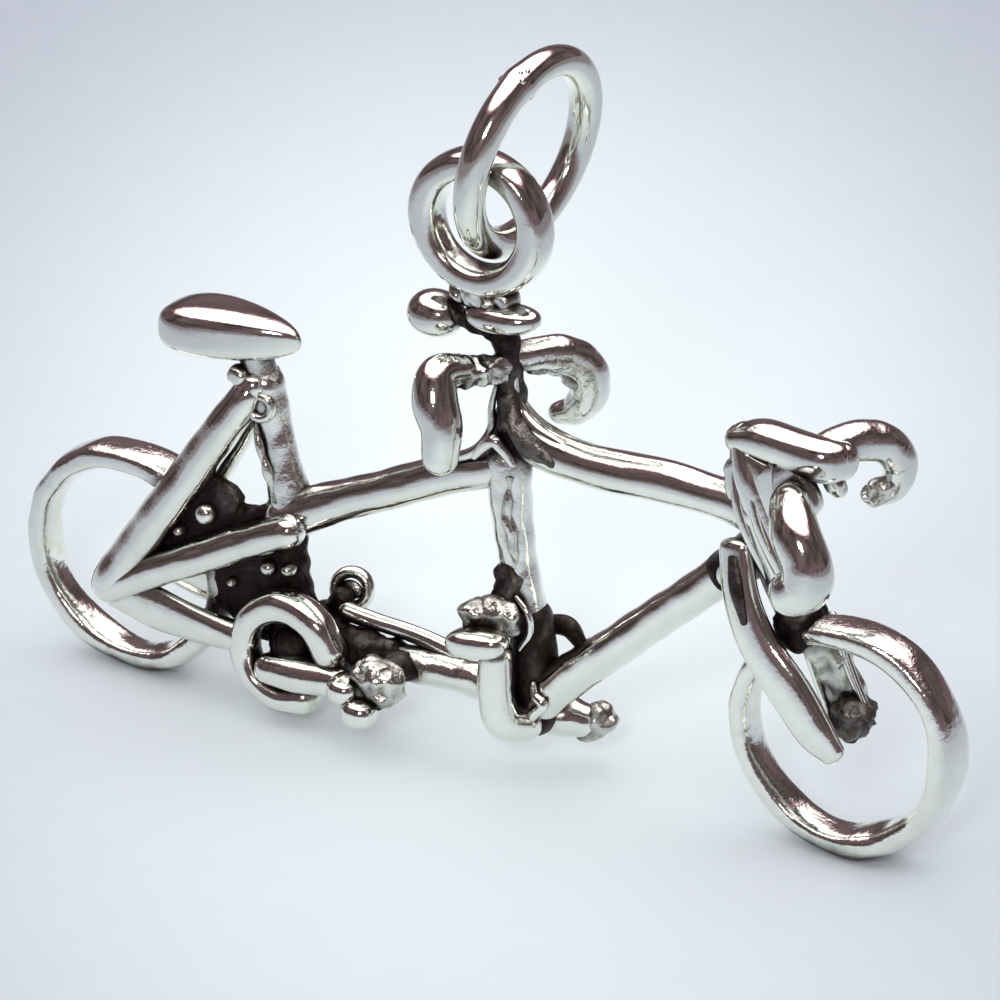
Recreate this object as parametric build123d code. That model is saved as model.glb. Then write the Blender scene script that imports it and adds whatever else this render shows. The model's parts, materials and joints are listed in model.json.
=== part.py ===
from build123d import *
import math
import os

os.makedirs("parts", exist_ok=True)

# ---------------------------------------------------------------- driving dimensions, mm
# +X is forward, +Y is the bike's left side, +Z is up.
# The bike is laid out standing on z = 0; on export it moves down until the centre of
# the hanging eye, from which it hangs, is the origin.
LENGTH = 25.0            # tail of the rear wheel to nose of the front wheel
WHEEL_D = 5.84           # outside of both wheel rings
WHEEL_W = 1.14           # width of a wheel ring across the bike
RIM_T = 0.46             # radial thickness of a wheel ring
TUBE_D = 1.02            # frame tubes
STAY_D = 0.94            # the bars each side of the rear wheel
BAR_D = 0.84             # handlebar wire
BAR_SPREAD = 2.1         # centre of the bike to the middle of a handlebar drop
TOP_Z = 8.2              # height of the front top tube
HEAD_Z = 9.8             # top of the head tube and stem
BB_Z = 1.9               # height of the lower tube that joins the two cranksets
TRACK = 1.02             # centre of the bike to the middle of a rear stay
CRANK_D = 0.8            # crank bars
CHAINRING_D = 3.0        # outside of the open chainring
SADDLE_L = 3.7           # stoker's saddle, nose to tail
SADDLE_W = 1.75          # stoker's saddle, side to side
SADDLE_H = 1.0           # stoker's saddle, thickness
BAIL_D = 3.55            # outside of the hanging eye
BAIL_HOLE = 2.12         # hole of the hanging eye
BAIL_W = 1.0             # width of the hanging eye across the bike
RING_D = 4.46            # middle of the jump ring's wire, across the ring
WIRE_D = 0.76            # jump ring wire

# ---------------------------------------------------------------- places worked out from them
WHEEL_R = WHEEL_D / 2
WHEEL_X = LENGTH / 2 - WHEEL_R
HUB_Z = WHEEL_R
FRAME = LENGTH / 25.0                      # stretch of the frame along the bike
DROPOUT = (-WHEEL_X - 0.02 * FRAME, HUB_Z - 0.33)
STOKER = (-5.9 * FRAME, TOP_Z - 0.1)       # top of the rear seat tube
JOINT_R = (-5.05 * FRAME, 5.05)            # foot of the rear top tube
REAR_BB = (-4.75 * FRAME, BB_Z)
CAPTAIN = (0.66 * FRAME, TOP_Z)            # top of the front seat tube
FRONT_BB = (1.42 * FRAME, BB_Z + 0.8)
HEAD_TOP = (6.88 * FRAME, HEAD_Z - 0.15)
HEAD_LOW = (8.05 * FRAME, WHEEL_D + 0.16)      # just over the front wheel
CHAIN_C = (REAR_BB[0] - 0.02, -0.86, BB_Z - 0.08)
BAIL_C = (0.0, 0.0, TOP_Z + 5.3)


# ---------------------------------------------------------------- shared shapes
def at(point, y=0.0):
    """A point of the bike's middle plane, moved sideways to y."""
    return Vector(point[0], y, point[1])


def rod(start, end, diameter):
    """A straight round bar from start to end."""
    a = Vector(start)
    b = Vector(end)
    plane = Plane(origin=a, z_dir=b - a)
    return extrude(plane * Circle(diameter / 2), (b - a).length)


def ball(centre, diameter):
    return Pos(*Vector(centre)) * Sphere(diameter / 2)


def capsule(start, end, diameter):
    """A straight round bar with round ends."""
    return rod(start, end, diameter) + ball(start, diameter) + ball(end, diameter)


def wire(points, diameter):
    """A round bar bent smoothly through the points, with round ends."""
    path = Spline(*[Vector(p) for p in points])
    section = Plane(origin=path @ 0, z_dir=path % 0) * Circle(diameter / 2)
    bar = sweep(section, path=path)
    return bar + ball(path @ 0, diameter) + ball(path @ 1, diameter)


def strap(points, width, thick):
    """A flat bar bent smoothly through the points, its thickness across the bike."""
    path = Spline(*[Vector(p) for p in points])
    plane = Plane(origin=path @ 0, x_dir=Vector(0, 1, 0), z_dir=path % 0)
    return sweep(plane * RectangleRounded(thick, width, thick * 0.45), path=path)


def band(outer_d, thick, width, crown):
    """A ring round the Y axis whose outside is domed by crown."""
    r_out = outer_d / 2
    r_in = r_out - thick
    half = width / 2
    corner = thick * 0.3
    outline = Polyline(
        (r_out - crown, half), (r_in + corner, half), (r_in, half - corner),
        (r_in, corner - half), (r_in + corner, -half), (r_out - crown, -half),
    ) + ThreePointArc((r_out - crown, -half), (r_out, 0), (r_out - crown, half))
    return revolve(make_face(outline), Axis.Y)


def plate(outline, half):
    """A flat web in the middle plane of the bike, half to each side."""
    points = [Vector(x, -half, z) for x, z in outline]
    face = make_face(Polyline(*points, close=True))
    return extrude(face, 2 * half, dir=(0, 1, 0))


def saddle(tail, nose, width, height):
    """A teardrop saddle: a wide round tail and a narrow nose."""
    length = (Vector(nose) - Vector(tail)).length
    r_tail = width / 2
    r_nose = width * 0.25
    outline = make_hull(
        (Pos(r_tail, 0) * Circle(r_tail)).edges()
        + (Pos(length - r_nose, 0) * Circle(r_nose)).edges()
    )
    body = extrude(outline, height / 2, both=True)
    body = fillet(body.edges(), height * 0.4)
    pitch = math.degrees(math.atan2(nose[2] - tail[2], nose[0] - tail[0]))
    return Pos(*tail) * Rot(0, -pitch, 0) * body


# ---------------------------------------------------------------- wheels
def wheel_ring(x):
    return Pos(x, 0, HUB_Z) * band(WHEEL_D, RIM_T, WHEEL_W, RIM_T * 0.32)


def front_axle():
    """The rough stub left across the fork, level with the hub."""
    x = WHEEL_X - 0.12
    z = HUB_Z + 0.25
    return Pos(x, 0.62, z) * Rot(0, 25, 0) * Box(0.85, 0.95, 1.0)


# ---------------------------------------------------------------- frame
def head_tube():
    return capsule(at(HEAD_TOP), at(HEAD_LOW), TUBE_D * 0.98)


def front_top_tube():
    """The bent bar from under the captain's saddle to the head tube."""
    return wire([
        (0.66 * FRAME, 0, TOP_Z + 2.35), (0.74 * FRAME, 0, TOP_Z + 1.15),
        (1.35 * FRAME, 0, TOP_Z + 0.16), (2.7 * FRAME, 0, TOP_Z - 0.06),
        (4.6 * FRAME, 0, TOP_Z - 0.04), (HEAD_TOP[0] + 0.3, 0, TOP_Z - 0.14),
    ], TUBE_D)


def front_seat_tube():
    return rod(at(CAPTAIN), (1.2 * FRAME, 0, FRONT_BB[1] + 0.9), TUBE_D)


def front_bb_shell():
    """The upright barrel that carries the captain's cranks."""
    low = (FRONT_BB[0] + 0.05, 0, BB_Z - 0.36)
    high = (FRONT_BB[0] - 0.1, 0, FRONT_BB[1] + 1.1)
    return capsule(low, high, TUBE_D * 1.12)


def rear_bb_shell():
    return rod(at(REAR_BB, -0.5), at(REAR_BB, 0.95), TUBE_D * 1.08)


def rear_seat_tube():
    return wire([at(STOKER), at(JOINT_R), (REAR_BB[0], 0, REAR_BB[1])], TUBE_D)


def rear_top_tube():
    return rod(at(JOINT_R), (CAPTAIN[0], 0, TOP_Z - 0.45), TUBE_D)


def down_tube():
    return rod((FRONT_BB[0], 0, BB_Z - 0.2), (HEAD_TOP[0] + 0.35, 0, HEAD_LOW[1] + 1.0), TUBE_D)


def down_tube_collar():
    """The ring where the down tube meets the head tube."""
    a = Vector(FRONT_BB[0], 0, BB_Z - 0.2)
    b = Vector(HEAD_TOP[0] + 0.35, 0, HEAD_LOW[1] + 1.0)
    way = (b - a).normalized()
    return rod(b - way * 1.15, b - way * 0.75, TUBE_D * 1.14)


def boom_tube():
    return rod((REAR_BB[0], 0, BB_Z), (FRONT_BB[0], 0, BB_Z), TUBE_D * 0.86)


def boom_rod():
    """The thin bar above the lower tube."""
    return capsule((REAR_BB[0] + 1.0, 0.2, BB_Z + 0.82), (-1.0 * FRAME, 0.2, BB_Z + 0.48), TUBE_D * 0.5)


def rear_web():
    """The flat web between the rear wheel, the stays and the rear seat tube."""
    x = REAR_BB[0]
    return plate([
        (x, 4.3), (x, BB_Z), (-WHEEL_X + WHEEL_R - 0.25, BB_Z + 0.1),
        (-WHEEL_X + WHEEL_R - 0.25, 3.7),
    ], 0.36)


def seat_stay(side):
    return capsule(at(DROPOUT, side * TRACK), (STOKER[0] - 0.02, side * 0.42, STOKER[1] + 0.12), STAY_D)


def mid_stay(side):
    end = Vector((-4.95 - 0.2 * side) * FRAME, side * 0.66, 4.86 - 0.09 * side)
    return capsule(at(DROPOUT, side * TRACK), end, STAY_D * 0.8)


def chain_stay(side):
    return rod(
        (DROPOUT[0] + 0.1, side * TRACK, DROPOUT[1] - 0.2),
        (REAR_BB[0] - 1.2, side * TRACK * 0.9, BB_Z + 0.15), STAY_D * 0.78,
    )


# ---------------------------------------------------------------- fork and steering
def fork_crown():
    """The block between the head tube and the front wheel."""
    return Pos(8.3 * FRAME, 0, WHEEL_D - 0.4) * Rot(0, 20, 0) * Box(0.95, 1.2, 1.05)


def fork_leg_right():
    y = -0.98
    return strap([
        (7.0 * FRAME, -0.62, HEAD_LOW[1] + 1.25), (7.42 * FRAME, -0.86, HEAD_LOW[1] - 0.3),
        (8.55 * FRAME, y, HUB_Z + 1.33), (WHEEL_X + 0.2, y, HUB_Z - 0.05),
    ], 0.95, 0.46)


def fork_leg_left():
    y = 0.84
    return strap([
        (HEAD_LOW[0], 0.66, HEAD_LOW[1] - 0.7), (8.6 * FRAME, y, HUB_Z + 1.18),
        (WHEEL_X - 0.1, y, HUB_Z - 0.15),
    ], 0.85, 0.5)


def captain_stem():
    """The wedge in front of the head tube that carries the handlebar."""
    return plate([
        (HEAD_TOP[0] - 0.1, HEAD_Z + 0.2), (8.75 * FRAME, HEAD_Z + 0.25),
        (8.85 * FRAME, HEAD_Z - 0.3), (7.55 * FRAME, 7.5), (HEAD_TOP[0] + 0.2, 7.8),
    ], 0.42)


def captain_bar(side):
    """One drop of the captain's handlebar, from the stem out and round."""
    y = side * BAR_SPREAD
    x = 8.6 * FRAME
    z = HEAD_Z
    if side < 0:
        return wire([
            (x, -0.2, z + 0.03), (x + 0.05, y * 0.55, z - 0.45), (x + 0.62, y * 0.86, z - 1.0),
            (x + 1.05, y, z - 1.65), (x + 0.92, y, z - 2.35), (x + 0.38, y, z - 2.5),
        ], BAR_D)
    return wire([
        (x, 0.2, z - 0.08), (x + 0.42, y * 0.55, z), (x + 0.88, y * 0.86, z - 0.24),
        (x + 1.1, y, z - 0.84), (x + 0.98, y, z - 1.45), (x + 0.64, y, z - 1.7),
    ], BAR_D)


def stoker_bar(side):
    """One drop of the stoker's handlebar, from the captain's seat post."""
    x = 0.62 * FRAME
    y = side * BAR_SPREAD
    z = TOP_Z + 2.15
    if side < 0:
        return wire([
            (x, -0.2, z), (x - 0.5, y * 0.48, z + 0.07), (x - 0.95, y * 0.78, z - 0.02),
            (x - 0.85, y * 0.9, z - 0.6), (x - 0.45, y * 0.95, z - 1.25), (x - 0.5, y * 0.95, z - 1.9),
        ], BAR_D)
    return wire([
        (x, 0.2, z - 0.1), (x + 0.68, y * 0.52, z - 0.1), (x + 1.1, y * 0.83, z - 0.66),
        (x + 1.14, y * 0.92, z - 1.35), (x + 0.8, y * 0.92, z - 1.9), (x + 0.45, y * 0.88, z - 2.15),
    ], BAR_D)


# ---------------------------------------------------------------- cranksets
def chainring():
    """The open ring on the right of the rear crankset."""
    r_mid = (CHAINRING_D - 0.64) / 2
    start, sweep_angle = 28, 262
    steps = 8
    points = []
    for i in range(steps + 1):
        angle = math.radians(start + sweep_angle * i / steps)
        points.append((
            CHAIN_C[0] + r_mid * math.cos(angle), CHAIN_C[1], CHAIN_C[2] + r_mid * math.sin(angle),
        ))
    path = Spline(*[Vector(p) for p in points])
    plane = Plane(origin=path @ 0, x_dir=Vector(0, 1, 0), z_dir=path % 0)
    return sweep(plane * RectangleRounded(0.86, 0.64, 0.24), path=path)


def rear_crank_right():
    z = BB_Z - 0.5
    return capsule((CHAIN_C[0] - 0.35, -1.0, z), (CHAIN_C[0] + 1.5, -1.0, z + 0.08), CRANK_D)


def rear_pedal_right():
    x = CHAIN_C[0] + 2.15
    return Pos(x, -1.35, BB_Z - 0.42) * pedal_block(1.3, 1.4, 0.82)


def rear_crank_left():
    return capsule(at(REAR_BB, 0.9), (REAR_BB[0] + 0.4, 0.95, BB_Z + 0.7), CRANK_D * 0.8)


def rear_pedal_left():
    return Pos(REAR_BB[0] + 0.45, 1.3, BB_Z + 0.78) * pedal_block(0.85, 0.85, 0.5)


def front_crank_right():
    x = FRONT_BB[0] - 0.42
    return wire([
        (x + 0.45, -0.45, BB_Z - 0.45), (x + 0.1, -0.86, BB_Z - 0.28),
        (x, -0.98, BB_Z + 0.5), (x, -0.98, BB_Z + 1.45),
    ], CRANK_D)


def front_pedal_right():
    x = FRONT_BB[0] - 0.75
    return Pos(x, -1.35, FRONT_BB[1] + 0.94) * Rot(0, -8, 0) * pedal_block(1.55, 0.85, 0.7)


def front_crank_left():
    return capsule(
        (FRONT_BB[0] + 0.2, 0.3, BB_Z - 0.62), (FRONT_BB[0] + 1.35, 0.55, BB_Z - 0.58), CRANK_D,
    )


def front_pedal_left():
    x = FRONT_BB[0] + 1.25
    return Pos(x, 0.95, BB_Z - 0.5) * pedal_block(0.75, 0.8, 0.62)


def front_lug_left():
    """The small loop on the left of the front barrel."""
    return capsule((FRONT_BB[0], 0.62, FRONT_BB[1] + 0.72), (FRONT_BB[0] + 0.5, 0.8, FRONT_BB[1] + 0.62), 0.5)


def front_lug_right():
    """The dark lump over the right front pedal."""
    x = FRONT_BB[0] - 1.3
    z = FRONT_BB[1] + 1.52
    return capsule((x, -0.85, z - 0.04), (x + 1.15, -0.62, z + 0.1), 0.62)


def pedal_block(length, width, height):
    """A small pedal with rounded edges, centred on its own middle."""
    block = Box(length, width, height)
    return fillet(block.edges(), height * 0.3)


# ---------------------------------------------------------------- saddles and hanging eye
def stoker_post():
    return rod((STOKER[0] - 0.32, 0, STOKER[1] + 1.0), at(STOKER), TUBE_D * 0.95)


def stoker_saddle():
    mid_z = STOKER[1] + 1.1
    x = STOKER[0] - 0.95
    return saddle(
        (x - SADDLE_L / 2, 0, mid_z + 0.02), (x + SADDLE_L / 2, 0, mid_z + 0.16), SADDLE_W, SADDLE_H,
    )


def captain_saddle():
    mid_z = TOP_Z + 2.95
    x = -0.08
    half = SADDLE_L * 0.45
    return saddle(
        (x - half, 0, mid_z - 0.25), (x + half, 0, mid_z + 0.3), SADDLE_W * 0.82, SADDLE_H * 0.82,
    )


def bail_foot():
    """The pad of solder that holds the hanging eye on the captain's saddle."""
    z = BAIL_C[2] - BAIL_D / 2
    return capsule((-0.45, 0, z - 0.1), (0.65, 0, z + 0.05), 0.7)


def bail():
    """The round hanging eye, an oval section turned about the Y axis."""
    thick = (BAIL_D - BAIL_HOLE) / 2
    section = Pos((BAIL_HOLE + thick) / 2, 0) * Ellipse(thick / 2, BAIL_W / 2)
    return Pos(*BAIL_C) * revolve(section, Axis.Y)


def jump_ring():
    """The free ring that threads the hanging eye, leaning as it comes to rest."""
    centre = Vector(BAIL_C) + Vector(0.55, 1.16, 1.4)
    plane = Plane(origin=centre, z_dir=(0.98, -0.08, -0.18))
    return plane * Torus(RING_D / 2, WIRE_D / 2)


# ---------------------------------------------------------------- building
# A later piece is fitted round every piece before it.
PIECES = {
    "jump_ring": jump_ring,
    "bail": bail,
    "rear_wheel_ring": lambda: wheel_ring(-WHEEL_X),
    "front_wheel_ring": lambda: wheel_ring(WHEEL_X),
    "head_tube": head_tube,
    "front_bb_shell": front_bb_shell,
    "rear_bb_shell": rear_bb_shell,
    "front_top_tube": front_top_tube,
    "rear_seat_tube": rear_seat_tube,
    "stoker_saddle": stoker_saddle,
    "captain_saddle": captain_saddle,
    "front_seat_tube": front_seat_tube,
    "rear_top_tube": rear_top_tube,
    "down_tube": down_tube,
    "down_tube_collar": down_tube_collar,
    "boom_tube": boom_tube,
    "right_seat_stay": lambda: seat_stay(-1),
    "left_seat_stay": lambda: seat_stay(1),
    "right_mid_stay": lambda: mid_stay(-1),
    "left_mid_stay": lambda: mid_stay(1),
    "right_chain_stay": lambda: chain_stay(-1),
    "left_chain_stay": lambda: chain_stay(1),
    "rear_web": rear_web,
    "boom_rod": boom_rod,
    "captain_stem": captain_stem,
    "captain_bar_right": lambda: captain_bar(-1),
    "captain_bar_left": lambda: captain_bar(1),
    "stoker_bar_right": lambda: stoker_bar(-1),
    "stoker_bar_left": lambda: stoker_bar(1),
    "fork_crown": fork_crown,
    "fork_leg_right": fork_leg_right,
    "fork_leg_left": fork_leg_left,
    "front_axle": front_axle,
    "chainring": chainring,
    "rear_crank_right": rear_crank_right,
    "rear_pedal_right": rear_pedal_right,
    "rear_crank_left": rear_crank_left,
    "rear_pedal_left": rear_pedal_left,
    "front_crank_right": front_crank_right,
    "front_pedal_right": front_pedal_right,
    "front_crank_left": front_crank_left,
    "front_pedal_left": front_pedal_left,
    "front_lug_left": front_lug_left,
    "front_lug_right": front_lug_right,
    "stoker_post": stoker_post,
    "bail_foot": bail_foot,
}


def boxes_meet(a, b):
    return all(
        getattr(a.min, k) < getattr(b.max, k) and getattr(b.min, k) < getattr(a.max, k) for k in "XYZ"
    )


placed = []
for name, maker in PIECES.items():
    piece = maker()
    box = piece.bounding_box()
    near = [other for other, other_box in placed if boxes_meet(box, other_box)]
    if near:
        piece = piece - near
    piece = max(piece.solids(), key=lambda solid: solid.volume)
    placed.append((piece, piece.bounding_box()))
    export_step(piece.moved(Location(-Vector(BAIL_C))), f"parts/{name}.step")
print(len(placed), "pieces")
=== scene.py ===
"""Silver tandem bicycle charm: the visible castings, their finishes and the studio."""
import json
import math

import bmesh
import bpy
import numpy as np
from bpy.props import FloatProperty, FloatVectorProperty, PointerProperty
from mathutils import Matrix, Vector


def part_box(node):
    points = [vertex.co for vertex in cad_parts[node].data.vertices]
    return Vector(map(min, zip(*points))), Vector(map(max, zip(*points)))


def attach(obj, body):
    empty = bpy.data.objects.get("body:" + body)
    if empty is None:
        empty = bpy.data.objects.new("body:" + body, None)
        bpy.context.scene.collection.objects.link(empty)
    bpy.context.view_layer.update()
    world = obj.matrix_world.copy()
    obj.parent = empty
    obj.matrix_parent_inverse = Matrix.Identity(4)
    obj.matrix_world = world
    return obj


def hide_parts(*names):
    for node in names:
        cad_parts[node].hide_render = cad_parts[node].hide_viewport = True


bl_info = {
    "name": "Tandem Charm",
    "version": (1, 0, 0),
    "blender": (4, 5, 0),
    "location": "3D View > Sidebar > Charm",
    "description": "Builds a cast silver tandem bicycle charm around its measured frame",
    "category": "Object",
}

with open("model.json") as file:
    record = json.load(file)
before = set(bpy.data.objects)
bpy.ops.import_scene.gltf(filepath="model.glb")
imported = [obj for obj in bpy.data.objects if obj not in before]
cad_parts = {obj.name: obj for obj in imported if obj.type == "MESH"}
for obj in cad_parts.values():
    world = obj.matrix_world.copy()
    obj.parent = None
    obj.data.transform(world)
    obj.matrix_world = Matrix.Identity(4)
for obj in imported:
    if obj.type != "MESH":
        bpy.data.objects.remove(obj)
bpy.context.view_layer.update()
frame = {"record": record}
MM = 0.001
TAU = 2 * math.pi

# Roundness of an outline: 2 is an ellipse, higher is boxier.
TYRE_SQUARE, EYE_SQUARE, SADDLE_SQUARE = 2.9, 2.7, 3.3
TYRE_HALF_THICKNESS = 0.32        # millimetres, along the wheel's radius
SOFT_KNOBS = (0.016, 4.0)         # depth and pitch of the knobs on a worn tube
SEAM_WIDTH = 0.11                 # radians round the jump ring
SEAM_SIDE = (0.0, -0.42, 1.0)     # where on the jump ring its seam is
DIRT_REACH = 0.6 * MM             # how wide a hollow may be and still hold dirt
GRAIN_HEIGHT = 0.05 * MM
# The view: degrees to the right of the bike's right side, degrees up, millimetres away.
VIEW_TURN, VIEW_RISE, VIEW_DISTANCE = 30.5, 25.5, 165.0
LENS, SENSOR = 256.6, 36.0
# The tent: its top, and how far a direction has to point towards it (as a cosine) for the
# red rim, the white dome and the dome's full light to start and to be complete.
TENT_TOP = (-0.10, 0.16, 0.98)
RIM_RISE, DOME_RISE, BRIGHT_RISE = (0.655, 0.70), (0.70, 0.75), (0.68, 0.78)
DIM, RIM = (0.045, 0.04, 0.036), (0.42, 0.16, 0.24)
DOME, BACKDROP = (1.0, 0.99, 0.98), (0.5, 0.54, 0.56)
# The painted pool of light on the board, which is painted darker beyond it: its middle and radius
# in metres, and how far it is stretched.
PAINTED_POOL_MIDDLE, PAINTED_POOL_RADIUS, PAINTED_POOL_STRETCH = (-0.0066, 0.0121), 0.0245, 2.3
# Painted reflection: where, in metres from the pool's middle, the board's colour starts and ends
# turning to the room's dark colour in what the silver mirrors, and the share it reaches.
PAINTED_ROOM_NEAR, PAINTED_ROOM_FAR, PAINTED_ROOM_SHARE = 0.026, 0.07, 0.8
SKY = 1.03                        # brightness of the even light on matt surfaces
LAMP_PLACE = (0.045, -0.115, 0.065)
LAMP_WIDTH, LAMP_WATTS = 0.03, 0.05


def node_box(node):
    """Lowest and highest corner of a measured piece, in millimetres."""
    low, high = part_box(node)
    return np.array(low) / MM, np.array(high) / MM


WHEEL_LOW, WHEEL_HIGH = node_box("rear_wheel_ring")
GROUND = WHEEL_LOW[2]


# ---------------------------------------------------------------- surfaces
def smooth_line(points, count):
    """A curve through every row of points: between two rows each column follows the
    cubic whose slope at a row is half the step between that row's two neighbours."""
    rows = np.array(points, float)
    ends = np.vstack([2 * rows[0] - rows[1], rows, 2 * rows[-1] - rows[-2]])
    along = np.linspace(0, len(rows) - 1, count)
    first = np.minimum(along.astype(int), len(rows) - 2)
    t = (along - first)[:, None]
    a, b, c, d = (ends[first + k] for k in range(4))
    return b + 0.5 * t * (c - a + t * (2 * a - 5 * b + 4 * c - d + t * (3 * (b - c) + d - a)))


def unit(rows):
    """Each row divided by its length."""
    return rows / np.maximum(np.linalg.norm(rows, axis=-1, keepdims=True), 1e-9)


def across(tangents, side=None):
    """Two directions square to each tangent. The first is side with its share along the
    tangent taken away. Without side, it is the direction that the tangents point in least,
    the eigenvector of their squared sum with the smallest eigenvalue."""
    if side is None:
        side = np.linalg.eigh(tangents.T @ tangents)[1][:, 0]
    left = unit(side - (tangents @ np.array(side, float))[:, None] * tangents)
    return left, np.cross(tangents, left)


def outline(around, square):
    """A rounded outline: cosine and sine raised to 2/square, round at 2, boxy above."""
    v = np.linspace(0, TAU, around, endpoint=False)
    power = 2.0 / square
    c, s = np.cos(v), np.sin(v)
    return np.sign(c) * np.abs(c) ** power, np.sign(s) * np.abs(s) ** power


def bar(stations, side=None, square=2.0, along=72, around=32, blunt=1.0):
    """A bent bar. Stations are x, y, z, half width and, if given, half height. The centre
    line is smooth_line through them, the section is outline scaled by the two halves, and
    each end closes as a quarter turn of an ellipse whose depth is blunt half widths."""
    rows = np.array([s if len(s) == 5 else (*s, s[3]) for s in stations], float)
    line = smooth_line(rows, along)
    tangents = unit(np.gradient(line[:, :3], axis=0))
    turn = np.linspace(0, math.pi / 2, 8)[1:-1]
    shrink = np.concatenate([np.sin(turn), np.ones(along), np.sin(turn[::-1])])
    push = np.concatenate([-np.cos(turn), np.zeros(along), np.cos(turn[::-1])])
    pick = np.clip(np.arange(len(shrink)) - len(turn), 0, along - 1)
    line, tangents = line[pick], tangents[pick]
    depth = np.minimum(line[:, 3], line[:, 4]) * blunt
    centre = line[:, :3] + tangents * (push * depth)[:, None]
    left, up = across(tangents, side)
    c, s = outline(around, square)
    wide = (line[:, 3] * shrink)[:, None, None] * c[None, :, None] * left[:, None, :]
    high = (line[:, 4] * shrink)[:, None, None] * s[None, :, None] * up[:, None, :]
    return centre[:, None, :] + wide + high


def lump(centre, halves, square=2.0, turn=(0.0, 0.0, 0.0), along=28, around=40):
    """A rounded block: a superellipsoid with the three half sizes, turned by turn degrees."""
    u = np.linspace(-math.pi / 2, math.pi / 2, along)[1:-1, None]
    power = 2.0 / square
    c, s = outline(around, square)
    cu, su = np.cos(u) ** power, np.sign(np.sin(u)) * np.abs(np.sin(u)) ** power
    grid = np.stack([cu * c * halves[0], cu * s * halves[1], su * np.ones(around) * halves[2]], -1)
    return turned(grid, turn) + np.array(centre)


def turned(points, degrees):
    """Points turned about X, then Y, then Z."""
    a, b, c = np.radians(degrees)
    x = np.array([[1, 0, 0], [0, math.cos(a), -math.sin(a)], [0, math.sin(a), math.cos(a)]])
    y = np.array([[math.cos(b), 0, math.sin(b)], [0, 1, 0], [-math.sin(b), 0, math.cos(b)]])
    z = np.array([[math.cos(c), -math.sin(c), 0], [math.sin(c), math.cos(c), 0], [0, 0, 1]])
    return points @ (z @ y @ x).T


def hoop(centre, axis, radius, half_radial, half_axial, square=2.0, along=160, around=32,
         swell=None, start_dir=None):
    """A ring: the outline, half_radial by half_axial, carried round a circle of the radius.
    swell maps the angle from start_dir to a factor on the section and a step outwards."""
    axis = unit(np.array(axis, float))
    aim = np.array(start_dir if start_dir is not None else (1, 0, 0), float)
    first = unit(aim - axis * (aim @ axis))
    second = np.cross(axis, first)
    angle = np.linspace(0, TAU, along, endpoint=False)
    out = np.cos(angle)[:, None] * first + np.sin(angle)[:, None] * second
    size, step = swell(angle) if swell else (np.ones(along), np.zeros(along))
    c, s = outline(around, square)
    reach = (radius + step)[:, None] + half_radial * size[:, None] * c
    lift = half_axial * size[:, None] * s
    return np.array(centre) + reach[..., None] * out[:, None, :] + lift[..., None] * axis


def teardrop(tail, nose, half_width, half_height, crown=0.1, along=64, around=40):
    """A saddle: along its length the half width goes as u^0.36 (1-u)^0.75 and the half
    height as u^0.3 (1-u)^0.45, both scaled to a peak of 1. The top is fuller than the
    underside by crown."""
    u = (1 - np.cos(np.linspace(0, math.pi, along)[1:-1])) / 2

    def profile(a, b):
        return u ** a * (1 - u) ** b / ((a / (a + b)) ** a * (b / (a + b)) ** b)
    tail, nose = np.array(tail, float), np.array(nose, float)
    centre = tail + (nose - tail) * u[:, None]
    c, s = outline(around, SADDLE_SQUARE)
    wide = half_width * profile(0.36, 0.75)[:, None] * c
    high = half_height * profile(0.3, 0.45)[:, None] * s * (1 + crown * (s > 0) - crown * 0.3)
    grid = centre[:, None, :] + wide[..., None] * np.array([0, 1, 0])
    return grid + high[..., None] * np.array([0, 0, 1])


def cast(points, depth=1.0):
    """The softness of a casting: every point moves by three crossing sine waves, 2.6, 1.5
    and 0.9 mm long. All pieces share one field, so pieces that touch stay together."""
    ways = np.array([[1.7, 0.9, 1.4], [-2.3, 3.1, 1.6], [3.9, -2.7, 5.0]])
    moves = np.array([[0.2, 0.9, 0.5], [0.8, -0.3, 0.6], [0.5, 0.4, -0.8]])
    sizes = np.array([0.028, 0.016, 0.008]) * depth
    waves = np.sin(points @ ways.T + np.array([0.4, 1.9, 3.3])) * sizes
    return points + waves @ moves


def gnarled(grid, depth=0.09, pitch=6.0):
    """Rough casting: points move away from their row's middle by depth times a sum of
    sines of x, y and z times pitch, bent by other sines so that the knobs are uneven."""
    away = unit(grid - grid.mean(1, keepdims=True))
    x, y, z = (grid[..., k] * pitch for k in range(3))
    waves = (np.sin(x + 1.3 * np.sin(y)) * np.sin(1.1 * y + 0.9 * np.sin(z))
             + 0.6 * np.sin(1.7 * z + np.sin(1.9 * x)) + 0.3 * np.sin(3.1 * x - 2.7 * y + z))
    return grid + away * (depth * waves)[..., None]


def faces_of(rows, columns, ring, first):
    """Quads of a grid whose columns close on themselves and whose points count from first.
    A ring's rows close too. Otherwise two last points close the ends with triangles."""
    index = first + np.arange(rows * columns).reshape(rows, columns)
    next_column = np.roll(index, -1, 1)
    if ring:
        low, low_next = index, next_column
        high, high_next = np.roll(index, -1, 0), np.roll(next_column, -1, 0)
    else:
        low, low_next, high, high_next = index[:-1], next_column[:-1], index[1:], next_column[1:]
    quads = np.stack([low, low_next, high_next, high], -1).reshape(-1, 4)
    if ring:
        return quads.tolist()
    start = first + rows * columns
    near = np.stack([np.full(columns, start), next_column[0], index[0]], -1)
    far = np.stack([np.full(columns, start + 1), index[-1], next_column[-1]], -1)
    return quads.tolist() + near.tolist() + far.tolist()


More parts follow.
